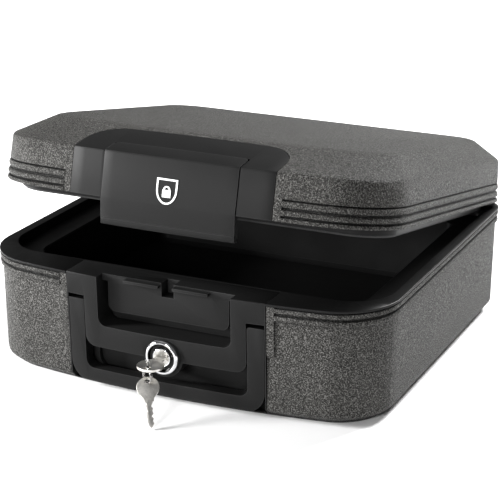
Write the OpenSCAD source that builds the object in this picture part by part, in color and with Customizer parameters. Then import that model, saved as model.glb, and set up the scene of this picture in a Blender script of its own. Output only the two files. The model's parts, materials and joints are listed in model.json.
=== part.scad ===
// Fire-resistant document box: a moulded base and a hinged lid, both filled with
// insulation, with a snap latch, a folding bail handle and a cylinder lock.
// Frame: origin at the centre of the underside, +Z up, +Y to the hinge side, front at -Y.
// The lid, the latch and their fittings are drawn closed, then turned open by lid_angle.

/* [Overall size] */
// Width across the rim, left to right
box_w = 391; // [380:1:400]
// Depth of the rim, front to back
box_d = 363; // [355:1:370]
// Height of the base, underside to the rim's top
base_h = 108; // [106:1:110]
// Height of the lid's upright wall
lid_wall_h = 41; // [40:1:44]
// Rise from the lid's fold to its flat top
lid_rise = 18.1; // [17:0.1:19]
// How much further forward the front's middle stands than its ends
front_bow = 18; // [14:1:20]
// Radius of the front corners in plan
corner_r = 50; // [46:1:52]
// Radius of the rear corners in plan
rear_corner_r = 24; // [22:1:26]
// Draft of the base's walls, in degrees
base_draft = 1.8; // [1.5:0.1:2.2]

/* [Lid] */
// How far the lid stands open at rest, in degrees
lid_angle = 11.2; // [5:0.1:20]
// Draft of the lid's walls, in degrees
lid_draft = 3; // [2.7:0.1:3.3]
// Radius of the lid's front corners in plan
lid_corner_r = 57; // [55:1:59]
// Run of the lid's front slope, fold to flat top
front_run = 61; // [59:1:64]
// Run of the lid's side slopes
side_run = 23.7; // [22:0.1:26]
// Run of the lid's rear slope
rear_run = 12.8; // [11:0.1:14]

/* [Front panel] */
// Half width of the smooth front panels
panel_hw = 97; // [96.5:0.1:98]
// Half width of the latch flap
latch_hw = 64.3; // [62:0.1:65]
// How far the latch flap reaches below the lid's edge
latch_drop = 23.6; // [22:0.1:25]
// Height of the lock's axis
lock_z = 44; // [43:0.5:45]

/* [Handle] */
// Half width of the handle outside its arms
handle_hw = 95; // [94.5:0.1:95]
// Width of each handle arm
arm_w = 15.5; // [14:0.5:16]
// Height of the handle's pivot
handle_z = 79.5; // [79:0.5:80]

/* [Hidden] */
$fn = 48;

corner_steps = 8;     // segments in each rounded corner
front_steps = 12;     // segments along the bowed front
front_y = -box_d / 2;
rear_y = box_d / 2;
base_lean = tan(base_draft);
lid_lean = tan(lid_draft);
wall = 3;             // thickness of the outer mouldings
skin_t = 2.5;         // thickness of the liners
rim_t = 2.2;          // thickness of the liner's flange over the base's wall
groove = 1.4;         // depth of the grooves between the ribs
swell = 0.8;          // how far a rib's crest stands out
edge_in = 0.8;        // how far the textured walls stand inside the flange
lid_side_in = 2;      // how much further the lid's side walls stand in
shell_top = base_h - rim_t;
chamfer_h = 10;       // undercut along the base's lower edge
chamfer_in = 9.5;
lid_gap = 0.3;        // gap between the closed lid and the rim
lid_z = base_h + lid_gap;
fold_z = lid_z + lid_wall_h;
top_z = fold_z + lid_rise;
panel_gap = 0.5;      // seam round the front panels
panel_depth = 36;     // the base panel's depth, front to back
lid_panel_depth = 30; // the lid panel's depth below the slope
lid_panel_run = 53;   // how far the lid panel runs up the slope

lid_rear_r = 28;      // radius of the lid's rear corners
deck_r = 36;          // corner radii of the flat top, front and rear
deck_rear_r = 28;

// Cavity: insets of its mouth, its floor and its ceiling
mouth_side = 34;
mouth_front = 55;
mouth_rear = 56;
floor_z = 35;
ceiling_z = 134;
ledge_z = 98.5;       // ledge inside the rim, where the lid's lip comes down
lip_z = 100.8;        // underside of the lid's lip

// Hinge
hinge_y = rear_y + 2.5;
hinge_z = 85.2;
hinge_x = 105;        // middle of each hinge, left and right of centre
knuckle_r = 4;
hinge_pin_r = 2;
lid_knuckle_hw = 12.5;
bracket_hw = 25;

// Handle and its pocket
pivot_y = front_y + 12.1;
handle_t = 12;
handle_pin_r = 2.5;
arm_end_r = 8;
pocket_y = pivot_y + 8.6;
grip_top_z = 19;
grip_bottom_z = 4.2;
handle_in = handle_hw - arm_w;
scoop_y = front_y + 25.5;
scoop_hw = 74;
apron_z = 41;         // lower edge of the panel's middle, above the finger scoop

// Latch recess in the base
recess_z = 62;
recess_y = front_y + 28;
plateau_z = 74;
plateau_hw = 59;
plateau_y = front_y + 13;
tab_x = 24;           // middle of each tab, left and right of centre
tab_z = 104;
tab_t = 2.5;
tab_y = front_y + 7.8;

// Latch
latch_pin_y = front_y + 16;
latch_pin_z = fold_z - 1.7;
latch_pin_r = 1.5;
latch_bottom_z = lid_z - latch_drop;
latch_seam_z = latch_bottom_z + 5.7;
latch_bend = tan(7);
latch_run = 20;       // how far the flap runs back up the slope
slope = lid_rise / front_run;
latch_front_y = front_y + edge_in - 0.5;
latch_crest_y = latch_front_y + lid_wall_h * lid_lean;
latch_end_y = latch_crest_y + 0.5 + latch_run;

// Path of the flap's rear edge about its pin, with 0.6 mm to spare
sweep_y = latch_end_y - latch_pin_y;
sweep_z = fold_z + slope * latch_run - latch_pin_z;
sweep_r = norm([sweep_y, sweep_z]) + 0.6;
latch_sweep = [for (i = [0:8]) let (a = -12 + (atan2(sweep_z, sweep_y) + 12) * i / 8)
    [latch_pin_y + sweep_r * cos(a), latch_pin_z + sweep_r * sin(a)]];

// Lock
face_y = front_y + edge_in + (shell_top - lock_z) * base_lean;
escutcheon_r = 16;
escutcheon_h = 4.6;
housing_r = 11;
plug_r = 7.5;
plug_face_y = face_y - escutcheon_h + 0.8;
lock_back_y = front_y + 28.5;
boss_r = 19;
key_t = 2.2;
key_w = 8;
bow_r = 12;

// ---- shared shapes ----

// How far the front stands back at x from the middle of the bow
function bow(x) = front_bow * pow(2 * x / box_w, 2);

// Insets of the textured walls at height z, for the base and for the closed lid
function base_in(z) = edge_in + (shell_top - z) * base_lean;
function lid_in(z) = edge_in + (z - lid_z) * lid_lean;

function quarter(cx, cy, r, start) = [for (i = [0:corner_steps])
    [cx + r * cos(start + 90 * i / corner_steps), cy + r * sin(start + 90 * i / corner_steps)]];
function between(a, b, n) = [for (i = [1:n - 1]) a + (b - a) * i / n];

// One horizontal outline; a level is [z, side inset, front inset, rear inset, front corners' radius,
// bow] and may end with the rear corners' radius
function outline(level) =
    let (hw = box_w / 2 - level[1], yf = front_y + level[2], yr = rear_y - level[3], r = level[4],
        rr = len(level) > 6 ? level[6] : max(r - corner_r + rear_corner_r, 8),
        left = quarter(r - hw, yf + r, r, 180), right = quarter(hw - r, yf + r, r, 270),
        ring = concat(quarter(hw - rr, yr - rr, rr, 0), quarter(rr - hw, yr - rr, rr, 90), left,
            between(left[corner_steps], right[0], front_steps), right))
    [for (p = ring) [p.x, p.y + level[5] * pow(p.x / hw, 2) * (yr - p.y) / (yr - yf), level[0]]];

// Closed skin over a row of rings that all have the same number of points; with loop, the last
// ring joins the first instead of both being capped
module skin(rings, loop = false) {
    n = len(rings[0]);
    count = len(rings);
    sides = [for (i = [0:count - (loop ? 1 : 2)]) for (j = [0:n - 1])
        let (next = (i + 1) % count * n, a = i * n + j, b = i * n + (j + 1) % n, c = next + j,
            d = next + (j + 1) % n) each [[a, c, d], [a, d, b]]];
    caps = loop ? [] : [[for (j = [0:n - 1]) j], [for (j = [n - 1:-1:0]) (count - 1) * n + j]];
    polyhedron(points = [for (ring = rings) each ring], faces = concat(sides, caps));
}

module lofted(levels, loop = false) {
    skin([for (level = levels) outline(level)], loop);
}

// Solid whose side profile, in Y and Z, is carried across X along the bowed front
module bowed(profile, half_w) {
    skin([for (i = [0:front_steps]) let (x = half_w * (2 * i / front_steps - 1))
        [for (p = profile) [x, p[0] + bow(x), p[1]]]]);
}

// Solid whose side profile, in Y and Z, is carried straight across X
module straight(profile, half_w) {
    translate([-half_w, 0, 0]) rotate([90, 0, 90]) linear_extrude(2 * half_w) polygon(profile);
}

// A drawing in X and Z, carried along Y
module along_y(from, to) {
    translate([0, to, 0]) rotate([90, 0, 0]) linear_extrude(to - from) children();
}

module x_rod(x0, x1, y, z, r) {
    translate([x0, y, z]) rotate([0, 90, 0]) cylinder(r = r, h = x1 - x0);
}

module y_rod(x, y0, y1, z, r) {
    translate([x, y1, z]) rotate([90, 0, 0]) cylinder(r = r, h = y1 - y0);
}

// Rectangle whose lower corners are rounded
module tray_2d(hw, z0, z1, r) {
    union() {
        translate([-hw, z0 + r]) square([2 * hw, z1 - z0 - r]);
        translate([r - hw, z0]) square([2 * (hw - r), r + 1]);
        for (side = [-1, 1]) translate([side * (hw - r), z0 + r]) circle(r = r);
    }
}

module block(x0, x1, y0, y1, z0, z1) {
    translate([x0, y0, z0]) cube([x1 - x0, y1 - y0, z1 - z0]);
}

module both_sides() {
    children();
    mirror([1, 0, 0]) children();
}

module lid_open() {
    translate([0, hinge_y, hinge_z]) rotate([-lid_angle, 0, 0]) translate([0, -hinge_y, -hinge_z])
        children();
}

// Rib round a wall between two grooves: pairs of height and swell
function rib(z0, z1) = [[z0 + 0.4, -groove], [z0 + 1.5, 0.2], [(z0 + z1) / 2, swell], [z1 - 1.5, 0.2],
    [z1 - 0.4, -groove]];
function wall_level(z, inset, bulge) =
    [z, inset - bulge, inset - bulge, inset - bulge, corner_r - inset + bulge, front_bow];
function lid_level(z, inset, bulge) =
    let (in = inset - bulge)
    [z, in + lid_side_in, in, in, lid_corner_r - in, front_bow, lid_rear_r - in];

// ---- base ----

base_ribs = concat(rib(92, 99), rib(99, shell_top));
base_foot = [for (p = [[0, chamfer_in + 1.5], [1, chamfer_in], [chamfer_h - 1, 0.6], [chamfer_h + 1.5, 0]])
    wall_level(p[0], base_in(chamfer_h) + p[1], 0)];
base_hollow = [wall_level(shell_top, base_in(shell_top) + wall, 0),
    wall_level(chamfer_h, base_in(chamfer_h) + wall, 0),
    wall_level(wall, base_in(chamfer_h) + chamfer_in + 0.5, 0)];

module base_cup(ribs) {
    lofted(concat(base_foot, [for (p = ribs) wall_level(p[0], base_in(p[0]), p[1])],
        [wall_level(shell_top, base_in(shell_top), 0)], base_hollow));
}

module bracket_holes(r) {
    for (side = [-1, 1], x = [-17, 17]) y_rod(side * hinge_x + x, rear_y - 12, rear_y + 6, 63, r);
}

module base_shell() {
    color([0.27, 0.27, 0.26]) difference() {
        union() {
            difference() {
                base_cup(base_ribs);
                block(-panel_hw - 7, panel_hw + 7, front_y - 5, front_y + 20, 60, base_h);
            }
            intersection() {
                base_cup([[92, 0]]);
                block(-panel_hw - 7, panel_hw + 7, front_y - 5, front_y + 20, 60, base_h);
            }
        }
        block(-panel_hw, panel_hw, front_y - 5, front_y + 45, wall, base_h);
        bracket_holes(1.9);
        for (side = [-1, 1]) translate([side * 110, 60, -1]) cylinder(r = 16.2, h = wall + 2);
    }
}

module base_fill_plugs() {
    color([0.08, 0.08, 0.08]) for (side = [-1, 1]) translate([side * 110, 60, 0.4]) difference() {
        union() {
            cylinder(r = 16, h = wall - 0.4);
            translate([0, 0, wall - 0.4]) cylinder(r = 14, h = 0.3);
        }
        translate([0, 0, -1]) cylinder(r = 12, h = 1.8);
    }
}

module base_insulation() {
    color([0.75, 0.73, 0.68]) difference() {
        lofted([wall_level(wall + 0.4, base_in(chamfer_h) + chamfer_in + 1.2, 0),
            wall_level(chamfer_h, base_in(chamfer_h) + wall + 0.6, 0),
            wall_level(ledge_z - skin_t - 0.5, base_in(ledge_z) + wall + 0.5, 0),
            [ledge_z - skin_t - 0.5, mouth_side - skin_t - 0.5, mouth_front - skin_t - 0.5,
                mouth_rear - skin_t - 0.5, 26, 0],
            [floor_z - skin_t - 0.4, mouth_side + 3.5 - skin_t - 0.5, mouth_front + 3.5 - skin_t - 0.5,
                mouth_rear + 3.5 - skin_t - 0.5, 22, 0]]);
        block(-panel_hw, panel_hw, front_y - 5, front_y + panel_depth + 0.6, wall, base_h);
        bracket_holes(1.9);
    }
}

// Flange over the wall, step, ledge and cavity in one moulding
module base_liner() {
    color([0.09, 0.09, 0.09]) difference() {
        lofted([
            [floor_z - skin_t, mouth_side + 3.5 - skin_t, mouth_front + 3.5 - skin_t,
                mouth_rear + 3.5 - skin_t, 22, 0],
            [ledge_z - skin_t, mouth_side - skin_t, mouth_front - skin_t, mouth_rear - skin_t, 26, 0],
            [ledge_z - skin_t, 7.6, panel_depth + 0.4, 23.5, 42, 0],
            [shell_top, 7.6, panel_depth + 0.4, 23.5, 42, 0],
            [shell_top, 0.2, 0.2, 0.2, corner_r, front_bow],
            [shell_top + 0.4, 0, 0, 0, corner_r, front_bow],
            [base_h - 0.5, 0, 0, 0, corner_r, front_bow],
            [base_h, 0.5, 0.5, 0.5, corner_r, front_bow],
            [base_h, 9.6, panel_depth + 2.6, 25.6, 40, 0],
            [base_h - 0.4, 10, panel_depth + 3, 26, 40, 0],
            [ledge_z, 10.6, panel_depth + 3.4, 26.6, 40, 0],
            [ledge_z, mouth_side - 1, mouth_front - 1, mouth_rear - 1, 27, 0],
            [ledge_z - 1, mouth_side, mouth_front, mouth_rear, 26, 0],
            [floor_z + 4, mouth_side + 3.2, mouth_front + 3.2, mouth_rear + 3.2, 22, 0],
            [floor_z, mouth_side + 7, mouth_front + 7, mouth_rear + 7, 18, 0]]);
        block(-panel_hw, panel_hw, front_y - 5, front_y + panel_depth + 0.2, ledge_z - 4, base_h + 1);
    }
}

// Front panel of the base, with the latch recess, the handle's channel and the finger scoop
module base_fascia() {
    hw = panel_hw - panel_gap;
    slot_hw = handle_hw + 0.6;
    color([0.13, 0.13, 0.13]) difference() {
        union() {
            difference() {
                bowed([[front_y + base_in(chamfer_h) + 6.5, wall + 0.2], [front_y + panel_depth, wall + 0.2],
                    [front_y + panel_depth, base_h], [front_y + 0.9, base_h], [front_y + 0.4, base_h - 0.6],
                    [front_y + base_in(chamfer_h), chamfer_h]], hw);
                along_y(front_y - 5, plateau_y) tray_2d(latch_hw + 0.6, recess_z, base_h + 1, 8);
                along_y(plateau_y - 1, recess_y) difference() {
                    tray_2d(latch_hw + 0.6, recess_z, base_h - 6, 8);
                    tray_2d(plateau_hw, plateau_z, plateau_z + 40, 7);
                }
                along_y(front_y - 5, pocket_y) difference() {
                    translate([-slot_hw, wall]) square([2 * slot_hw, 88 - wall]);
                    tray_2d(handle_in - 0.8, apron_z, 110, 10);
                    translate([0, lock_z]) circle(r = boss_r);
                }
                along_y(pocket_y - 1, scoop_y) difference() {
                    tray_2d(scoop_hw, 14, 53, 13);
                    translate([0, lock_z]) circle(r = boss_r);
                }
                block(-6, 6, plateau_y - 1, plateau_y + 12, 95.3, base_h + 1);
            }
            for (side = [-1, 1]) translate([side * tab_x, 0, 0])
                block(-17, 17, tab_y, plateau_y + 1, tab_z, tab_z + tab_t);
        }
        both_sides() x_rod(69.8, hw + 1, pivot_y, handle_z, handle_pin_r + 0.05);
        y_rod(0, front_y - 5, front_y + 40, lock_z, housing_r + 0.05);
        y_rod(0, front_y - 5, face_y, lock_z, escutcheon_r + 0.1);
        block(-30, 30, lock_back_y, front_y + 40, 26, 61);
        block(-panel_hw, panel_hw, front_y + panel_depth, front_y + 50, 0, base_h + 1);
    }
}

module handle_pins() {
    color([0.7, 0.7, 0.7]) both_sides() x_rod(70, panel_hw - panel_gap, pivot_y, handle_z, handle_pin_r);
}

module hinge_brackets() {
    color([0.1, 0.1, 0.1]) for (side = [-1, 1]) translate([side * hinge_x, 0, 0]) difference() {
        union() {
            block(-bracket_hw, bracket_hw, rear_y - 1.8, rear_y + 1, 55, 80);
            for (end = [-1, 1]) {
                mid = end * (bracket_hw + lid_knuckle_hw + 0.5) / 2;
                half = (bracket_hw - lid_knuckle_hw - 0.5) / 2;
                x_rod(mid - half, mid + half, hinge_y, hinge_z, knuckle_r);
                block(mid - half, mid + half, rear_y - 1.5, hinge_y + knuckle_r, 76, hinge_z);
            }
        }
        x_rod(-30, 30, hinge_y, hinge_z, hinge_pin_r + 0.05);
        for (x = [-17, 17]) y_rod(x, rear_y - 5, rear_y + 6, 63, 1.9);
    }
}

module bracket_screws() {
    color([0.6, 0.6, 0.6]) for (side = [-1, 1], x = [-17, 17]) {
        screw(side * hinge_x + x, rear_y + 1, 63, 10);
    }
}

// Pan-head screw driven towards -Y, its head bearing at y
module screw(x, y, z, length) {
    difference() {
        union() {
            y_rod(x, y, y + 1.8, z, 3.6);
            y_rod(x, y - length, y + 0.5, z, 1.8);
        }
        for (turn = [0, 90]) translate([x, y + 2, z]) rotate([0, turn, 0]) cube([4, 2, 0.8], center = true);
    }
}

module hinge_pins() {
    color([0.7, 0.7, 0.7]) for (side = [-1, 1]) translate([side * hinge_x, 0, 0])
        x_rod(-bracket_hw - 0.5, bracket_hw + 0.5, hinge_y, hinge_z, hinge_pin_r);
}

// ---- lock ----

module lock_housing() {
    color([0.8, 0.8, 0.8]) difference() {
        union() {
            y_rod(0, face_y - 1, lock_back_y + 4.5, lock_z, housing_r);
            translate([0, face_y, lock_z]) rotate([90, 0, 0]) rotate_extrude($fn = 96)
                polygon([[0, 0], [escutcheon_r, 0], [escutcheon_r, 2.6], [escutcheon_r - 1, 4.1],
                    [escutcheon_r - 2.4, escutcheon_h], [escutcheon_r - 3.6, 4.1], [escutcheon_r - 4.4, 1.6],
                    [plug_r + 1.5, 1.6], [plug_r + 0.8, 3.4], [0, 3.4]]);
        }
        y_rod(0, front_y - 20, front_y + 45, lock_z, plug_r + 0.05);
    }
}

module lock_nut() {
    color([0.7, 0.7, 0.7]) difference() {
        translate([0, lock_back_y + 3.6, lock_z]) rotate([90, 0, 0]) cylinder(r = 15, h = 3.5, $fn = 6);
        y_rod(0, front_y, front_y + 45, lock_z, housing_r + 0.05);
    }
}

module lock_plug() {
    color([0.82, 0.82, 0.8]) difference() {
        union() {
            y_rod(0, plug_face_y + 0.6, lock_back_y + 4.9, lock_z, plug_r);
            y_rod(0, plug_face_y, plug_face_y + 1, lock_z, plug_r - 0.8);
        }
        block(-key_w / 2 - 0.3, key_w / 2 + 0.3, front_y - 20, plug_face_y + 27, lock_z - key_t / 2 - 0.2,
            lock_z + key_t / 2 + 0.2);
        y_rod(0, lock_back_y - 1, front_y + 45, lock_z, 1.9);
    }
}

module lock_cam() {
    cam_y = lock_back_y + 5;
    color([0.65, 0.65, 0.62]) difference() {
        union() {
            y_rod(0, cam_y, cam_y + 1.6, lock_z, 6);
            block(-4, 4, cam_y, cam_y + 1.6, lock_z, lock_z + 14);
        }
        y_rod(0, cam_y - 1, cam_y + 3, lock_z, 1.9);
    }
}

module cam_screw() {
    color([0.6, 0.6, 0.6]) union() {
        y_rod(0, lock_back_y - 0.5, lock_back_y + 6.8, lock_z, 1.8);
        y_rod(0, lock_back_y + 6.6, lock_back_y + 7.3, lock_z, 3.4);
    }
}

module inserted_key() {
    bow_y = plug_face_y - 7 - bow_r;
    color([0.75, 0.73, 0.68]) translate([0, 0, lock_z - key_t / 2]) linear_extrude(key_t) difference() {
        union() {
            translate([0, bow_y]) circle(r = bow_r);
            translate([-5, bow_y]) square([10, plug_face_y - 0.3 - bow_y]);
            translate([-key_w / 2, bow_y]) square([key_w, plug_face_y + 24 - bow_y]);
        }
        translate([0, bow_y - 6]) circle(r = 2.6);
        for (cut = [0:3]) translate([key_w / 2, plug_face_y + 5 + 5 * cut])
            circle(r = 1.4 + 0.3 * (cut % 2));
    }
}

// ---- handle ----

module carry_handle() {
    color([0.12, 0.12, 0.12]) difference() {
        intersection() {
            bowed([[front_y + 8.5, grip_bottom_z], [front_y + handle_t + 4, grip_bottom_z],
                [front_y + handle_t + base_in(grip_top_z), grip_bottom_z + 3],
                [front_y + handle_t + base_in(90), 90], [front_y + base_in(90), 90],
                [front_y + base_in(9), 9], [front_y + base_in(9) + 1.2, grip_bottom_z + 1.6]], handle_hw);
            along_y(front_y - 5, front_y + 30) difference() {
                tray_2d(handle_hw, grip_bottom_z, 84, 20);
                tray_2d(handle_in, grip_top_z, 100, 8);
            }
            union() {
                x_rod(-handle_hw - 1, handle_hw + 1, pivot_y, handle_z, arm_end_r);
                block(-handle_hw - 1, handle_hw + 1, front_y - 5, front_y + 40, 0, handle_z);
            }
        }
        x_rod(-handle_hw - 2, handle_hw + 2, pivot_y, handle_z, handle_pin_r + 0.08);
    }
}

// ---- lid, drawn closed ----

function lid_top(u) = [fold_z + lid_rise * u, lid_in(fold_z) + lid_side_in + side_run * u,
    lid_in(fold_z) + front_run * u, lid_in(fold_z) + rear_run * u,
    lid_corner_r - 3 + (deck_r - lid_corner_r + 3) * u, front_bow * (1 - 0.35 * u),
    deck_rear_r - 2 * (1 - u)];
lid_ribs = concat([[lid_z, 0.2], [lid_z + 1.4, swell], [lid_z + 3.2, 0.2], [lid_z + 3.8, -groove]],
    rib(lid_z + 4, lid_z + 11), rib(lid_z + 11, lid_z + 18.7));

module lid_cup(ribs) {
    lofted(concat([
        [top_z - wall, lid_side_in + side_run + 3, front_run + 3, rear_run + 5, deck_r - 1,
            front_bow * 0.65, deck_rear_r - 2],
        lid_level(fold_z - 1.5, lid_in(fold_z) + wall, 0),
        lid_level(lid_z, lid_in(lid_z) + wall, 0)],
        [for (p = ribs) lid_level(p[0], lid_in(p[0]), p[1])],
        [lid_level(lid_z + 19, lid_in(lid_z + 19), 0), lid_level(fold_z - 1.8, lid_in(fold_z), 0),
            lid_level(fold_z - 0.1, lid_in(fold_z) + 0.8, 0),
            lid_top(0.06), lid_top(0.3), lid_top(0.6), lid_top(0.94),
            [top_z, lid_in(fold_z) + lid_side_in + side_run + 2, lid_in(fold_z) + front_run + 5,
                lid_in(fold_z) + rear_run + 1, deck_r - 1, front_bow * 0.62, deck_rear_r]]));
}

// Plan of the lid's front panel, its rear corners rounded
module lid_panel_plan(hw, end_y) {
    r = 30;
    polygon(concat([[-hw, front_y - 10], [hw, front_y - 10]], quarter(hw - r, end_y - r, r, 0),
        quarter(r - hw, end_y - r, r, 90)));
}

// Room for the lid's front panel inside the lid
module lid_panel_room(gap) {
    block(-panel_hw, panel_hw, front_y - 5, front_y + lid_panel_depth + gap, lid_z - 1, top_z + 1);
    block(-panel_hw, panel_hw, front_y - 5, front_y + lid_panel_run + 4 + gap, fold_z - 8, top_z + 1);
}

module arm_holes(r) {
    for (side = [-1, 1], x = [-9, 9]) y_rod(side * hinge_x + x, rear_y - 12, rear_y + 8, lid_z + 24.5, r);
}

module lid_shell() {
    color([0.27, 0.27, 0.26]) lid_open() difference() {
        union() {
            difference() {
                lid_cup(lid_ribs);
                block(-panel_hw - 7, panel_hw + 7, front_y - 5, front_y + 20, lid_z - 1, lid_z + 25);
            }
            intersection() {
                lid_cup([[lid_z, 0]]);
                block(-panel_hw - 7, panel_hw + 7, front_y - 5, front_y + 20, lid_z - 1, lid_z + 25);
            }
        }
        translate([0, 0, lid_z - 1]) linear_extrude(70)
            lid_panel_plan(panel_hw, front_y + lid_panel_run + 3.5);
        arm_holes(1.9);
    }
}

module lid_insulation() {
    color([0.75, 0.73, 0.68]) lid_open() difference() {
        lofted([
            [ceiling_z + skin_t + 0.5, mouth_side + 1.5, mouth_front + 1.5, mouth_rear + 1.5, 26, 0],
            [lid_z + 3.5, 24.5, 50, 46.5, 28, 0],
            lid_level(lid_z + 3.5, lid_in(lid_z + 3.5) + wall + 0.5, 0),
            lid_level(fold_z - 2, lid_in(fold_z) + wall + 0.6, 0),
            [top_z - wall - 0.6, lid_side_in + side_run + 6, front_run + 8, rear_run + 8, deck_r - 3,
                front_bow * 0.65, deck_rear_r - 4]]);
        lid_panel_room(0.6);
        arm_holes(1.9);
    }
}

// Flange, hanging lip and cavity of the lid in one moulding
module lid_liner() {
    color([0.07, 0.07, 0.07]) lid_open() difference() {
        lofted([
            [ceiling_z, mouth_side + 8, mouth_front + 8, mouth_rear + 8, 20, 0],
            [ceiling_z - 4, mouth_side + 4.5, mouth_front + 4.5, mouth_rear + 4.5, 24, 0],
            [lip_z, 28, 53, 50, 28, 0],
            [lip_z, 12, panel_depth + 4.8, 36.4, 38, 0],
            [lip_z + 0.8, 11.4, panel_depth + 4.2, 35.8, 38, 0],
            [lid_z + 0.6, 11.2, panel_depth + 4, 35.5, 38, 0],
            lid_level(lid_z + 0.6, 4.4, 0),
            lid_level(lid_z + 3, 4.4, 0),
            [lid_z + 3, 13.8, panel_depth + 6.6, 38, 36, 0],
            [lip_z + skin_t, 13.8, panel_depth + 6.6, 38, 36, 0],
            [lip_z + skin_t, 25.5, 50.5, 47.5, 28, 0],
            [ceiling_z + skin_t, mouth_side + 2.2, mouth_front + 2.2, mouth_rear + 2.2, 25, 0]]);
        block(-panel_hw, panel_hw, front_y - 5, front_y + lid_panel_depth + 0.4, lid_z - 1, lid_z + 5);
    }
}

module lid_gasket() {
    color([0.05, 0.05, 0.05]) lid_open() lofted([
        [lip_z, 20, panel_depth + 11, 42, 32, 0],
        [ledge_z + 0.4, 18, panel_depth + 9.5, 41, 33, 0],
        [ledge_z + 0.4, 15, panel_depth + 7.5, 39.5, 35, 0],
        [lip_z, 13.5, panel_depth + 6, 38, 36, 0]], loop = true);
}

// Front panel of the lid: upright face and the run up the slope, notched for the latch
module lid_fascia() {
    end_y = front_y + lid_panel_run + 3;
    foot_y = front_y + lid_in(lid_z);
    crest_y = front_y + lid_in(fold_z);
    color([0.13, 0.13, 0.13]) lid_open() difference() {
        intersection() {
            bowed([[foot_y, lid_z], [front_y + lid_panel_depth, lid_z],
                [front_y + lid_panel_depth, fold_z - 6.4], [front_y + lid_panel_run + 3.4, fold_z - 5],
                [front_y + lid_panel_run + 3.4, fold_z + slope * (lid_panel_run + 0.4)],
                [crest_y + 2, fold_z + slope * 1.2], [crest_y + 0.5, fold_z - 0.5], [crest_y, fold_z - 2]],
                panel_hw + 4);
            translate([0, 0, lid_z - 1]) linear_extrude(70) lid_panel_plan(panel_hw - panel_gap, end_y);
        }
        straight(concat([[front_y - 5, lid_z - 1], [front_y + 14.5, lid_z - 1],
            [front_y + 14.5, fold_z - 9], [latch_pin_y + 8, fold_z - 9]], latch_sweep,
            [[latch_sweep[8][0], top_z + 1], [front_y - 5, top_z + 1]]), latch_hw + 0.7);
        block(-panel_hw, panel_hw, front_y + lid_panel_depth, front_y + 50, lid_z - 1, fold_z - 7.5);
        x_rod(-latch_hw - 5, latch_hw + 5, latch_pin_y, latch_pin_z, latch_pin_r + 0.05);
    }
}

module lid_hinge_arms() {
    color([0.1, 0.1, 0.1]) lid_open() for (side = [-1, 1]) translate([side * hinge_x, 0, 0]) difference() {
        union() {
            x_rod(-lid_knuckle_hw, lid_knuckle_hw, hinge_y, hinge_z, knuckle_r);
            block(-lid_knuckle_hw, lid_knuckle_hw, rear_y + 0.6, rear_y + 3.8, hinge_z, lid_z + 10);
            block(-20, 20, rear_y + 0.6, rear_y + 3.8, hinge_z + 9, lid_z + 30);
            block(-20, 20, rear_y - 1.6, rear_y + 0.8, lid_z + 20, lid_z + 30);
        }
        x_rod(-30, 30, hinge_y, hinge_z, hinge_pin_r + 0.08);
        for (x = [-9, 9]) y_rod(x, rear_y - 5, rear_y + 8, lid_z + 24.5, 1.9);
    }
}

module arm_screws() {
    color([0.6, 0.6, 0.6]) lid_open() for (side = [-1, 1], x = [-9, 9]) {
        screw(side * hinge_x + x, rear_y + 3.8, lid_z + 24.5, 13);
    }
}

module latch_pin() {
    color([0.7, 0.7, 0.7]) lid_open()
        x_rod(-latch_hw - 4.8, latch_hw + 4.8, latch_pin_y, latch_pin_z, latch_pin_r);
}

// ---- latch, drawn closed ----

// Front skin of the flap: over the slope, down the face and on below the lid's edge
module latch_cover() {
    t = 2.6;
    slope_t = 1.8;
    color([0.14, 0.14, 0.14]) lid_open() difference() {
        bowed([
            [latch_front_y + (lid_z - latch_seam_z) * latch_bend, latch_seam_z + 0.3],
            [latch_front_y + (lid_z - latch_seam_z) * latch_bend + t, latch_seam_z + 0.3],
            [latch_front_y + t, lid_z], [latch_crest_y + t, fold_z - slope_t],
            [latch_end_y + 2, fold_z + slope * (latch_run + 2) - slope_t],
            [latch_end_y + 2, fold_z + slope * (latch_run + 2) + 0.3],
            [latch_crest_y + 2.5, fold_z + 0.8], [latch_crest_y + 0.7, fold_z], [latch_crest_y, fold_z - 1.6],
            [latch_front_y, lid_z + 1], [latch_front_y + 0.1, lid_z - 1]], latch_hw);
        block(-latch_hw - 1, latch_hw + 1, latch_end_y, latch_end_y + 10, fold_z - 5, top_z + 1);
        for (side = [-1, 1]) translate([side * (latch_hw - 4), latch_end_y - 4, fold_z - 10]) difference() {
            translate([side > 0 ? 0 : -10, 0, 0]) cube([10, 10, 30]);
            cylinder(r = 4, h = 30);
        }
    }
}

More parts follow.
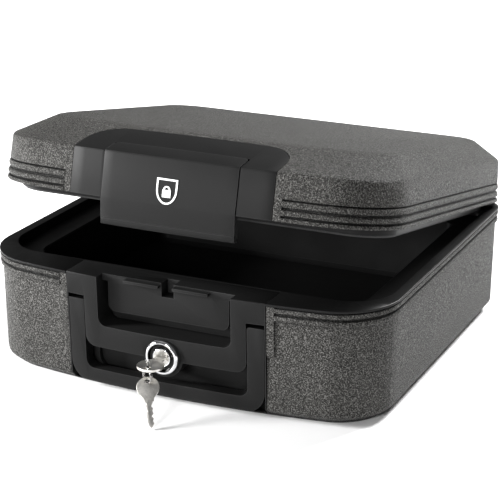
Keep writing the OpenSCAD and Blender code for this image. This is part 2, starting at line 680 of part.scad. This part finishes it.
// Inner frame of the flap: bottom grip, back, pivot barrel and two hooks
module latch_body() {
    t = 2.9;
    low_y = latch_front_y + (lid_z - latch_bottom_z) * latch_bend;
    seam_y = latch_front_y + (lid_z - latch_seam_z) * latch_bend;
    color([0.12, 0.12, 0.12]) lid_open() difference() {
        union() {
            bowed([[low_y + 1, latch_bottom_z], [low_y + 6, latch_bottom_z], [seam_y + 8, latch_seam_z],
                [latch_front_y + 8, latch_seam_z + 6], [latch_front_y + 6, latch_seam_z + 9],
                [latch_front_y + 6, lid_z], [latch_crest_y + 7, fold_z - 12],
                [latch_crest_y + 7, fold_z - t - 0.4], [latch_crest_y + t, fold_z - t - 0.4],
                [latch_front_y + t, lid_z], [seam_y + t, latch_seam_z], [seam_y, latch_seam_z],
                [low_y, latch_bottom_z + 1]], latch_hw - 0.2);
            x_rod(-latch_hw + 0.2, latch_hw - 0.2, latch_pin_y, latch_pin_z, 2.4);
            block(-latch_hw + 0.2, latch_hw - 0.2, front_y + 8, latch_pin_y,
                latch_pin_z - 2.4, latch_pin_z - 0.4);
            for (side = [-1, 1]) translate([side * tab_x, 0, 0])
                block(-14, 14, front_y + 5, front_y + 11, tab_z - 5, tab_z - 1);
        }
        x_rod(-latch_hw - 1, latch_hw + 1, latch_pin_y, latch_pin_z, latch_pin_r + 0.08);
        for (side = [-1, 1]) y_rod(side * 50, front_y + 2, front_y + 12, lid_z + 12, 1.9);
    }
}

module latch_screws() {
    color([0.6, 0.6, 0.6]) lid_open() for (side = [-1, 1]) union() {
        y_rod(side * 50, latch_front_y + 5, latch_front_y + 9, lid_z + 12, 1.8);
        y_rod(side * 50, latch_front_y + 8.9, latch_front_y + 10, lid_z + 12, 3.2);
    }
}

// Shield outline of a half width, for the emblem
module shield_2d(half_w) {
    polygon(concat([[half_w, half_w + 0.6], [-half_w, half_w + 0.6]],
        [for (i = [0:12]) [-half_w * cos(15 * i), 1 - (half_w + 2.6) * sin(15 * i)]]));
}

// Plain emblem on the flap: a padlock within a shield
module latch_badge() {
    emblem_z = lid_z + 13;
    emblem_y = latch_front_y + (emblem_z - lid_z) * lid_lean - 0.05;
    color([0.85, 0.85, 0.85]) lid_open() translate([0, emblem_y, emblem_z]) rotate([90 - lid_draft, 0, 0])
        linear_extrude(0.5) union() {
            difference() {
                shield_2d(10);
                shield_2d(8.4);
            }
            translate([-4, -5.5]) square([8, 6.5]);
            translate([0, 1]) difference() {
                circle(r = 3.4);
                circle(r = 2);
                translate([-5, -5]) square([10, 5]);
            }
        }
}

base_shell();
base_insulation();
base_liner();
base_fascia();
base_fill_plugs();
handle_pins();
hinge_brackets();
bracket_screws();
hinge_pins();
lock_housing();
lock_nut();
lid_shell();
lid_insulation();
lid_liner();
lid_gasket();
lid_fascia();
lid_hinge_arms();
arm_screws();
latch_pin();
latch_cover();
latch_body();
latch_screws();
latch_badge();
carry_handle();
lock_plug();
lock_cam();
cam_screw();
inserted_key();
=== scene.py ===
"""Document box: camera, lights, materials, fine edges, and the keys that hang from the lock."""
import json
import math
import bmesh
import bpy
from mathutils import Matrix, Vector


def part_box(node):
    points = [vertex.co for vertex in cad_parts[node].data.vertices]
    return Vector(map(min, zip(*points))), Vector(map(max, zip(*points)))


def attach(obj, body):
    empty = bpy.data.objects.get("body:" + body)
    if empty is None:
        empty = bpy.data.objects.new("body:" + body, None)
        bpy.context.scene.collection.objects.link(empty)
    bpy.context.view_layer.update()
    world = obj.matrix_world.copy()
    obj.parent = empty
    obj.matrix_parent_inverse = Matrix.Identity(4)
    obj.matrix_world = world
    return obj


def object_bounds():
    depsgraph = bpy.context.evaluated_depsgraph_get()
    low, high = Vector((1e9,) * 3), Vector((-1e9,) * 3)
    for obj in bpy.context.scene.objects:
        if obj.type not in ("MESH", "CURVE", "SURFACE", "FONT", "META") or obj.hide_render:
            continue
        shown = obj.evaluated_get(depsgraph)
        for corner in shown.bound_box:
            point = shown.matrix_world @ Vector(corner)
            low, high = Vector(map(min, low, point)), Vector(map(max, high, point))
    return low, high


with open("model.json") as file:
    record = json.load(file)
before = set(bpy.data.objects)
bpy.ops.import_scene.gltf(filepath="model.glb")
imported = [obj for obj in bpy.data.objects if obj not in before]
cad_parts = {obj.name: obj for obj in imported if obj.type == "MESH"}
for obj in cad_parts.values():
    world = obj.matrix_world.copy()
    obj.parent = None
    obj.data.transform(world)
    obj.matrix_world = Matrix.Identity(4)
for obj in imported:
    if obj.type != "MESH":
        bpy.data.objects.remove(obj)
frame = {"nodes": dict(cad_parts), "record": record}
cad_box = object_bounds()
NODES = frame["nodes"]
MM = 0.001

# ---------------------------------------------------------------- camera

CAMERA_AT = Vector((0.6418, -1.3780, 0.6157))
CAMERA_TO = Vector((0.0094, -0.0194, 0.0934))
CAMERA_LENS = 121.5        # focal length in mm on a 36 mm wide sensor


def make_camera():
    data = bpy.data.cameras.new("camera")
    data.lens = CAMERA_LENS
    data.sensor_width = 36.0
    data.clip_start = 0.05
    data.clip_end = 50.0
    camera = bpy.data.objects.new("camera", data)
    bpy.context.scene.collection.objects.link(camera)
    camera.location = CAMERA_AT
    camera.rotation_euler = (CAMERA_TO - CAMERA_AT).to_track_quat("-Z", "Y").to_euler()
    bpy.context.scene.camera = camera


make_camera()

# ---------------------------------------------------------------- materials

EDGE_LIGHTENING_REACH = 1.1 * MM      # how far the lightened edges, painted highlight and rubbed wear, reach in from the corner
GRAIN = 860                # features to the metre in the shell's grain
FLECKS = 1500              # and in its finer flecks
SATIN = 2600               # and in the panels' satin finish
PLASTIC_SHINE = 0.10       # specular level of both plastics
LOCK_GROOVE = (8.5 * MM, 13.2 * MM)    # inner and outer radius of the painted shade ring round the plug
GROOVE_FADE = (0.4 * MM, 0.3 * MM)     # widths over which its two edges fade


def new_material(name):
    material = bpy.data.materials.new(name)
    material.use_nodes = True
    tree = material.node_tree
    shader = tree.nodes["Principled BSDF"]
    return material, tree, shader


def object_noise(tree, scale, detail, roughness, stretch=(1, 1, 1)):
    """Noise in the object's own metres; scale is in features to the metre."""
    place = tree.nodes.new("ShaderNodeTexCoord")
    mapping = tree.nodes.new("ShaderNodeMapping")
    mapping.inputs["Scale"].default_value = stretch
    noise = tree.nodes.new("ShaderNodeTexNoise")
    noise.inputs["Scale"].default_value = scale
    noise.inputs["Detail"].default_value = detail
    noise.inputs["Roughness"].default_value = roughness
    tree.links.new(place.outputs["Object"], mapping.inputs["Vector"])
    tree.links.new(mapping.outputs["Vector"], noise.inputs["Vector"])
    return noise.outputs["Fac"]


def ramp(tree, factor, stops):
    """Colour that follows factor through the stops: pairs of place and colour."""
    node = tree.nodes.new("ShaderNodeValToRGB")
    while len(node.color_ramp.elements) < len(stops):
        node.color_ramp.elements.new(0.5)
    for element, (at, colour) in zip(node.color_ramp.elements, stops):
        element.position = at
        element.color = (*colour, 1.0)
    tree.links.new(factor, node.inputs["Fac"])
    return node.outputs["Color"]


def grey(value, warmth=0.0):
    """Grey of the given lightness, turned towards brown by warmth."""
    return (value, value * (1 - 0.3 * warmth), value * (1 - warmth))


def stretch_range(tree, factor, low, high, to_low, to_high):
    """Factor moved from the range low to high into the range to_low to to_high."""
    node = tree.nodes.new("ShaderNodeMapRange")
    for name, value in (("From Min", low), ("From Max", high), ("To Min", to_low), ("To Max", to_high)):
        node.inputs[name].default_value = value
    tree.links.new(factor, node.inputs["Value"])
    return node.outputs["Result"]


def bump(tree, height, strength, distance, under=None):
    """Normal raised by height, on top of the normal under it."""
    node = tree.nodes.new("ShaderNodeBump")
    node.inputs["Strength"].default_value = strength
    node.inputs["Distance"].default_value = distance
    tree.links.new(height, node.inputs["Height"])
    if under is not None:
        tree.links.new(under, node.inputs["Normal"])
    return node.outputs["Normal"]


def mix_colour(tree, factor, first, second, blend="MIX"):
    """Blend of two colours; each of the three inputs is a socket, a colour or a number."""
    node = tree.nodes.new("ShaderNodeMix")
    node.data_type = "RGBA"
    node.blend_type = blend
    for name, value in (("Factor", factor), ("A", first), ("B", second)):
        socket = node.inputs[name]
        if isinstance(value, bpy.types.NodeSocket):
            tree.links.new(value, socket)
        elif isinstance(value, tuple):
            socket.default_value = (*value, 1.0)
        else:
            socket.default_value = value
    return node.outputs["Result"]


def edge_highlight_and_wear(tree):
    """Painted highlight and rubbed wear on edges: 1 along edges and corners, 0 on the flat: how far a
    rounded normal leans from the true one.
    """
    rounded = tree.nodes.new("ShaderNodeBevel")
    rounded.samples = 4
    rounded.inputs["Radius"].default_value = EDGE_LIGHTENING_REACH
    surface = tree.nodes.new("ShaderNodeNewGeometry")
    lean = tree.nodes.new("ShaderNodeVectorMath")
    lean.operation = "DOT_PRODUCT"
    tree.links.new(rounded.outputs["Normal"], lean.inputs[0])
    tree.links.new(surface.outputs["Normal"], lean.inputs[1])
    return stretch_range(tree, lean.outputs["Value"], 1.0, 0.86, 0.0, 1.0)


def painted_crevice_shade(tree, reach, darkest):
    """Painted shade: 1 in the open, falling to darkest in grooves and seams narrower than reach metres."""
    shade = tree.nodes.new("ShaderNodeAmbientOcclusion")
    shade.samples = 6
    shade.inputs["Distance"].default_value = reach
    return stretch_range(tree, shade.outputs["AO"], 0.62, 0.96, darkest, 1.0)


def textured_plastic():
    """Warm grey moulding with a fine spark-eroded grain, paler speckles and painted shade in its grooves.
    """
    material, tree, shader = new_material("textured_plastic")
    coarse = object_noise(tree, GRAIN, 2.0, 0.55)
    fine = object_noise(tree, FLECKS, 2.0, 0.6)
    broad = object_noise(tree, 9, 2.0, 0.5)
    dark, middle, pale = grey(0.009, 0.12), grey(0.033, 0.09), grey(0.115, 0.06)
    speckle = ramp(tree, coarse, ((0.34, dark), (0.50, middle), (0.63, pale)))
    flecks = ramp(tree, fine, ((0.34, grey(0.60)), (0.50, grey(1.0)), (0.66, grey(1.6))))
    colour = mix_colour(tree, 1.0, speckle, flecks, "MULTIPLY")
    drift = ramp(tree, broad, ((0.3, grey(0.92)), (0.7, grey(1.06))))
    colour = mix_colour(tree, 1.0, colour, drift, "MULTIPLY")
    # Painted shade: grooves and seams within 6 mm blend by ambient occlusion towards near-black
    # grey(0.002).
    colour = mix_colour(tree, painted_crevice_shade(tree, 6 * MM, 0.0), grey(0.002), colour)
    tree.links.new(colour, shader.inputs["Base Color"])
    tree.links.new(stretch_range(tree, coarse, 0.3, 0.7, 0.54, 0.38), shader.inputs["Roughness"])
    grain = bump(tree, coarse, 1.0, 1.6 * MM)
    tree.links.new(bump(tree, fine, 0.8, 0.6 * MM, grain), shader.inputs["Normal"])
    shader.inputs["Specular IOR Level"].default_value = PLASTIC_SHINE
    return material


def satin_plastic(name="satin_plastic", tone=0.008, roughness=0.48):
    """Near-black moulding with a fine satin grain, edges lightened by painted highlight and rubbed wear,
    and painted shade in its grooves.
    """
    material, tree, shader = new_material(name)
    grain = object_noise(tree, SATIN, 2.0, 0.6)
    cloud = object_noise(tree, 26, 3.0, 0.6)
    base = ramp(tree, grain, ((0.3, grey(tone * 0.82)), (0.7, grey(tone * 1.22))))
    # Painted highlight and rubbed wear: edges lightened to 3.2 times the tone.
    highlit_and_worn = mix_colour(tree, edge_highlight_and_wear(tree), base, grey(tone * 3.2))
    # Painted shade: grooves and seams within 5 mm darkened by ambient occlusion towards near-black.
    colour = mix_colour(tree, painted_crevice_shade(tree, 5 * MM, 0.15), grey(0.002), highlit_and_worn)
    tree.links.new(colour, shader.inputs["Base Color"])
    shader.inputs["Specular IOR Level"].default_value = PLASTIC_SHINE
    rubbed = stretch_range(tree, cloud, 0.3, 0.7, roughness - 0.04, roughness + 0.05)
    tree.links.new(rubbed, shader.inputs["Roughness"])
    tree.links.new(bump(tree, grain, 0.22, 0.12 * MM), shader.inputs["Normal"])
    return material


def fill_material():
    """Pale, crumbly mineral fill."""
    material, tree, shader = new_material("mineral_fill")
    lumps = object_noise(tree, 240, 5.0, 0.7)
    colour = ramp(tree, lumps, ((0.3, (0.36, 0.33, 0.28)), (0.7, (0.62, 0.59, 0.52))))
    tree.links.new(colour, shader.inputs["Base Color"])
    tree.links.new(bump(tree, lumps, 0.6, 1 * MM), shader.inputs["Normal"])
    shader.inputs["Roughness"].default_value = 0.9
    return material


def rubber_material():
    """Dull black rubber of the lid's seal."""
    material, tree, shader = new_material("seal_rubber")
    grain = object_noise(tree, 1800, 3.0, 0.6)
    tree.links.new(ramp(tree, grain, ((0.3, grey(0.008)), (0.7, grey(0.016)))), shader.inputs["Base Color"])
    tree.links.new(bump(tree, grain, 0.3, 0.2 * MM), shader.inputs["Normal"])
    shader.inputs["Roughness"].default_value = 0.75
    return material


def metal(name, colour, low_rough, high_rough, brushed=(1, 1, 1), scale=900, painted_groove_shade=False):
    """Bare metal with fine scratches; the groove switch paints shade into the groove round the lock's plug,
    blackening it.
    """
    material, tree, shader = new_material(name)
    shader.inputs["Metallic"].default_value = 1.0
    scratches = object_noise(tree, scale, 4.0, 0.65, brushed)
    stain = object_noise(tree, 160, 3.0, 0.6)
    light = tuple(min(1.0, c * 1.08) for c in colour)
    dull = tuple(c * 0.72 for c in colour)
    tone = ramp(tree, stain, ((0.32, dull), (0.62, light)))
    if painted_groove_shade:
        # Painted shade: the groove round the plug is blackened to near-black.
        tone = mix_colour(tree, groove_shade_mask(tree), tone, (0.02, 0.02, 0.02))
    tree.links.new(tone, shader.inputs["Base Color"])
    polish = stretch_range(tree, scratches, 0.3, 0.7, low_rough, high_rough)
    tree.links.new(polish, shader.inputs["Roughness"])
    tree.links.new(bump(tree, scratches, 0.12, 0.08 * MM), shader.inputs["Normal"])
    return material


def groove_shade_mask(tree):
    """Painted shade mask: 1 between the escutcheon's inner edge and the plug, measured from the lock's
    axis.
    """
    low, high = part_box("lock_housing")
    middle = [(a + b) / 2 for a, b in zip(low, high)]
    place = tree.nodes.new("ShaderNodeTexCoord")
    shift = tree.nodes.new("ShaderNodeMapping")
    shift.inputs["Location"].default_value = (-middle[0], 0, -middle[2])
    shift.inputs["Scale"].default_value = (1, 0, 1)
    length = tree.nodes.new("ShaderNodeVectorMath")
    length.operation = "LENGTH"
    tree.links.new(place.outputs["Object"], shift.inputs["Vector"])
    tree.links.new(shift.outputs["Vector"], length.inputs[0])
    inner_r, outer_r = LOCK_GROOVE
    inner_fade, outer_fade = GROOVE_FADE
    outer = stretch_range(tree, length.outputs["Value"], outer_r - outer_fade, outer_r, 1.0, 0.0)
    inner = stretch_range(tree, length.outputs["Value"], inner_r, inner_r + inner_fade, 0.0, 1.0)
    both = tree.nodes.new("ShaderNodeMath")
    both.operation = "MULTIPLY"
    tree.links.new(outer, both.inputs[0])
    tree.links.new(inner, both.inputs[1])
    return both.outputs["Value"]


def badge_material():
    """White print of the latch's emblem."""
    material, tree, shader = new_material("printed_white")
    grain = object_noise(tree, 1200, 2.0, 0.5)
    tree.links.new(ramp(tree, grain, ((0.3, grey(0.74)), (0.7, grey(0.86)))), shader.inputs["Base Color"])
    shader.inputs["Roughness"].default_value = 0.35
    tree.links.new(bump(tree, grain, 0.1, 0.1 * MM), shader.inputs["Normal"])
    return material


SHELL = textured_plastic()
PANEL = satin_plastic()
HANDLE = satin_plastic("handle_plastic", 0.008, 0.42)
LINER = satin_plastic("liner_plastic", 0.006, 0.36)
FILL = fill_material()
RUBBER = rubber_material()
STEEL = metal("zinc_steel", (0.52, 0.52, 0.53), 0.22, 0.42, (1, 12, 12))
# The lock's chrome carries the painted shade in the groove round the plug.
CHROME = metal("lock_chrome", (0.82, 0.82, 0.84), 0.05, 0.14, scale=1400, painted_groove_shade=True)
NICKEL = metal("plug_nickel", (0.66, 0.65, 0.62), 0.14, 0.30, scale=1400)
KEY_METAL = metal("key_nickel", (0.82, 0.80, 0.76), 0.26, 0.46, (2, 1, 2), 1100)
RING_METAL = metal("ring_steel", (0.34, 0.33, 0.32), 0.12, 0.24, scale=1300)
BADGE = badge_material()

LOOKS = {
    "textured_shell": SHELL, "satin_panel": PANEL, "black_liner": LINER, "insulation": FILL,
    "seal_rubber": RUBBER, "steel": STEEL, "lock_chrome": CHROME, "lock_nickel": NICKEL,
    "key_nickel": KEY_METAL, "badge_white": BADGE,
}

# ---------------------------------------------------------------- edges of the CAD parts


def smooth_edges_group(angle):
    """Node group that shades faces smooth and leaves edges sharp where they turn by more than angle."""
    group = bpy.data.node_groups.new("smooth_edges", "GeometryNodeTree")
    group.interface.new_socket("Geometry", in_out="INPUT", socket_type="NodeSocketGeometry")
    group.interface.new_socket("Geometry", in_out="OUTPUT", socket_type="NodeSocketGeometry")
    make = group.nodes.new
    start, end = make("NodeGroupInput"), make("NodeGroupOutput")
    clear = make("GeometryNodeRemoveAttribute")
    clear.inputs["Name"].default_value = "custom_normal"
    faces, edges = make("GeometryNodeSetShadeSmooth"), make("GeometryNodeSetShadeSmooth")
    faces.inputs["Shade Smooth"].default_value = True
    edges.domain = "EDGE"
    edges.inputs["Shade Smooth"].default_value = False
    turn = make("GeometryNodeInputMeshEdgeAngle")
    sharp = make("FunctionNodeCompare")
    sharp.operation = "GREATER_THAN"
    sharp.inputs["B"].default_value = angle
    link = group.links.new
    link(start.outputs[0], clear.inputs["Geometry"])
    link(clear.outputs["Geometry"], faces.inputs["Geometry"])
    link(faces.outputs["Geometry"], edges.inputs["Geometry"])
    link(turn.outputs["Unsigned Angle"], sharp.inputs["A"])
    link(sharp.outputs["Result"], edges.inputs["Selection"])
    link(edges.outputs["Geometry"], end.inputs[0])
    return group


SMOOTH = smooth_edges_group(math.radians(42))
WELD_REACH = 0.02 * MM
EDGE_ROUND = {             # width of the rounded edges of each part in mm
    "base_fascia": 1.3, "lid_fascia": 0.8, "latch_cover": 0.9, "latch_body": 0.6, "carry_handle": 1.7,
    "base_liner": 0.5, "lid_liner": 0.5, "base_shell": 0.35, "lid_shell": 0.35, "lock_housing": 0.25,
    "lock_plug": 0.3, "inserted_key": 0.3, "latch_badge": 0.1, "hinge_brackets": 0.5, "lid_hinge_arms": 0.5,
}


def finish_edges(piece, width):
    """Weld, round the edges by width metres, and shade smooth."""
    weld = piece.modifiers.new("weld", "WELD")
    weld.merge_threshold = WELD_REACH
    if width:
        bevel = piece.modifiers.new("edges", "BEVEL")
        bevel.width = width
        bevel.segments = 3
        bevel.limit_method = "ANGLE"
        bevel.angle_limit = math.radians(38)
        bevel.use_clamp_overlap = True
        bevel.miter_outer = "MITER_ARC"
    shade = piece.modifiers.new("smooth", "NODES")
    shade.node_group = SMOOTH


def dress_cad_nodes():
    """Give each part the material of its slot, and its rounded edges."""
    slots = {part["node"]: part["material_slot"] for part in frame["record"]["subparts"]}
    for name, node in NODES.items():
        node.data.materials.clear()
        node.data.materials.append(HANDLE if name == "carry_handle" else LOOKS[slots[name]])
        finish_edges(node, EDGE_ROUND.get(name, 0.0) * MM)


dress_cad_nodes()

# ---------------------------------------------------------------- key ring and spare key

key_low, key_high = (Vector(corner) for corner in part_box("inserted_key"))
KEY_HOLE = Vector((0, key_low.y + 6 * MM, (key_low.z + key_high.z) / 2))
RING_R = 7.2 * MM
RING_WIRE = 0.9 * MM       # radius of the wire
SPARE_TIP = Vector((16 * MM, key_low.y - 18.5 * MM, 1.2 * MM))
SPARE_HALF = 1.0 * MM      # half the thickness of the spare key
BLADE_HALF = 2.9 * MM      # half the width of its blade
BOW_LENGTH = 23 * MM       # from its shoulder to the top


def link_mesh(name, mesh, material, body):
    """Add a piece with one material, riding on body."""
    piece = bpy.data.objects.new(name, mesh)
    bpy.context.scene.collection.objects.link(piece)
    mesh.materials.clear()
    mesh.materials.append(material)
    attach(piece, body)
    return piece


def wire_ring(name, centre, across, along, radius, wire, turns):
    """Split ring: wire wound turns times round a circle, in the plane of across and along."""
    normal = across.cross(along).normalized()
    steps, sides = 72, 10
    mesh = bpy.data.meshes.new(name)
    build = bmesh.new()
    loops = []
    total = int(steps * turns)
    for i in range(total + 1):
        angle = 2 * math.pi * i / steps
        outward = across * math.cos(angle) + along * math.sin(angle)
        lift = wire * 1.9 * (i / total - 0.5)
        middle = centre + outward * radius + normal * lift
        loops.append([build.verts.new(middle + (outward * math.cos(t) + normal * math.sin(t)) * wire)
                      for t in (2 * math.pi * k / sides for k in range(sides))])
    for first, second in zip(loops, loops[1:]):
        for k in range(sides):
            n = (k + 1) % sides
            build.faces.new((first[k], first[n], second[n], second[k]))
    build.faces.new(loops[0][::-1])
    build.faces.new(loops[-1])
    bmesh.ops.recalc_face_normals(build, faces=build.faces)
    for face in build.faces:
        face.smooth = True
    build.to_mesh(mesh)
    build.free()
    return mesh


def spare_key_outline(length):
    """Outline of the key, anticlockwise from its tip; x across, y up from the tip."""
    shoulder = length - BOW_LENGTH
    points = [(0, 0), (1.5 * MM, 1.6 * MM), (2.5 * MM, 3.4 * MM)]
    depths = (0.8, 1.5, 0.6, 1.3)
    pitch = (shoulder - 5 * MM) / len(depths)
    for i, depth in enumerate(depths):
        y = 3.8 * MM + pitch * i
        bottom = BLADE_HALF - depth * MM
        points += [(BLADE_HALF, y), (bottom, y + pitch * 0.36), (bottom, y + pitch * 0.58)]
    points += [(BLADE_HALF, shoulder - 1.2 * MM), (BLADE_HALF, shoulder)]
    neck = [(4.1, 0.5), (4.4, 3.0), (6.2, 5.6), (8.7, 8.6)]
    crown = [(9.9, 11.8), (9.9, 15.0), (8.9, 17.9), (7.0, 20.2), (4.6, 21.8), (2.0, 22.8)]
    bow = neck + crown
    points += [(x * MM, shoulder + y * MM) for x, y in bow]
    points += [(-x * MM, shoulder + y * MM) for x, y in reversed(bow)]
    return points + [(-BLADE_HALF, shoulder), (-BLADE_HALF, 5.5 * MM), (-1.6 * MM, 1.6 * MM)]


def flat_piece(name, outlines, half_thickness, rounding, to_world):
    """Plate with rounded edges from closed outlines; the second and later ones are holes."""
    curve = bpy.data.curves.new(name, "CURVE")
    curve.dimensions = "2D"
    curve.fill_mode = "BOTH"
    curve.extrude = half_thickness - rounding
    curve.bevel_depth = rounding
    curve.bevel_resolution = 2
    curve.offset = -rounding
    for outline in outlines:
        spline = curve.splines.new("POLY")
        spline.points.add(len(outline) - 1)
        for point, (x, y) in zip(spline.points, outline):
            point.co = (x, y, 0, 1)
        spline.use_cyclic_u = True
    holder = bpy.data.objects.new(name + "_curve", curve)
    bpy.context.scene.collection.objects.link(holder)
    bpy.context.view_layer.update()
    mesh = bpy.data.meshes.new_from_object(holder.evaluated_get(bpy.context.evaluated_depsgraph_get()))
    bpy.data.objects.remove(holder)
    mesh.transform(to_world)
    return mesh


def ellipse(x, y, rx, ry):
    steps = 24
    turns = [2 * math.pi * i / steps for i in range(steps)]
    return [(x + rx * math.cos(turn), y + ry * math.sin(turn)) for turn in turns]


def hang_keys():
    """Split ring through the bow of the key in the lock, and a spare key leaning from it to the floor."""
    toward_camera = (CAMERA_AT - KEY_HOLE).normalized()
    ring_top = KEY_HOLE + Vector((0, 0, 0.2 * MM))
    ring_centre = ring_top - Vector((0, 0.4 * MM, RING_R - 1.2 * MM))
    across = Vector((0.80, -0.60, 0)).normalized()
    ring = wire_ring("key_ring", ring_centre, across, Vector((0, 0, 1)), RING_R, RING_WIRE, 1.85)
    piece = link_mesh("key_ring", ring, RING_METAL, "key")
    piece.modifiers.new("weld", "WELD").merge_threshold = 0.00001

    hole = ring_centre - Vector((0, 0, RING_R - 0.9 * MM))
    up = (hole - SPARE_TIP).normalized()
    side = up.cross(toward_camera).normalized()
    face = side.cross(up)
    hole_drop = 4.2 * MM
    length = (hole - SPARE_TIP).length + hole_drop
    turn = Matrix((side, up, face)).transposed().to_4x4()
    to_world = Matrix.Translation(SPARE_TIP) @ turn
    outlines = [spare_key_outline(length), ellipse(0, length - hole_drop, 2.9 * MM, 1.9 * MM)]
    spare = flat_piece("spare_key", outlines, SPARE_HALF, 0.22 * MM, to_world)
    key = link_mesh("spare_key", spare, KEY_METAL, "key")
    finish_edges(key, 0)

    left, right = -1.7 * MM, -0.5 * MM
    low, high = 6 * MM, length - 21 * MM
    outline = [(left, low), (right, low), (right, high), (left, high)]
    lift = Matrix.Translation(face * 0.92 * MM)
    rail = flat_piece("spare_key_rail", [outline], 0.30 * MM, 0.12 * MM, lift @ to_world)
    link_mesh("spare_key_rail", rail, KEY_METAL, "key")


hang_keys()

# ---------------------------------------------------------------- floor and light


def make_floor():
    """Plain pale floor just under the box."""
    bpy.ops.mesh.primitive_plane_add(size=12.0, location=(0, 0, cad_box[0][2] - 0.2 * MM))
    floor = bpy.context.object
    floor.name = "floor"
    material, _, shader = new_material("pale_floor")
    shader.inputs["Base Color"].default_value = (0.95, 0.95, 0.95, 1)
    shader.inputs["Roughness"].default_value = 0.65
    floor.data.materials.append(material)


def area_light(name, location, target, size, power):
    """Rectangular lamp of the given size in metres and power in watts, turned to its target."""
    data = bpy.data.lights.new(name, "AREA")
    data.shape = "RECTANGLE"
    data.size, data.size_y = size
    data.energy = power
    lamp = bpy.data.objects.new(name, data)
    bpy.context.scene.collection.objects.link(lamp)
    lamp.location = location
    lamp.rotation_euler = (Vector(target) - Vector(location)).to_track_quat("-Z", "Y").to_euler()


def make_light():
    """Four soft boxes and a dim white surround."""
    world = bpy.data.worlds.new("studio")
    world.use_nodes = True
    background = world.node_tree.nodes["Background"]
    background.inputs["Color"].default_value = (1, 1, 1, 1)
    background.inputs["Strength"].default_value = 0.12
    bpy.context.scene.world = world
    area_light("right_box", (0.75, 1.75, 1.6), (0.1, 0, 0.15), (0.8, 0.5), 130)
    area_light("left_box", (-1.9, -1.1, 0.7), (-0.1, -0.1, 0.1), (0.5, 0.7), 128)
    area_light("front_box", (-0.1, -2.4, 0.8), (0, 0, 0.1), (0.6, 0.4), 38)
    area_light("top_box", (-0.5, -0.3, 2.7), (0, 0, 0.1), (3.0, 3.0), 7)
    bpy.context.scene.view_settings.view_transform = "Standard"


make_floor()
make_light()
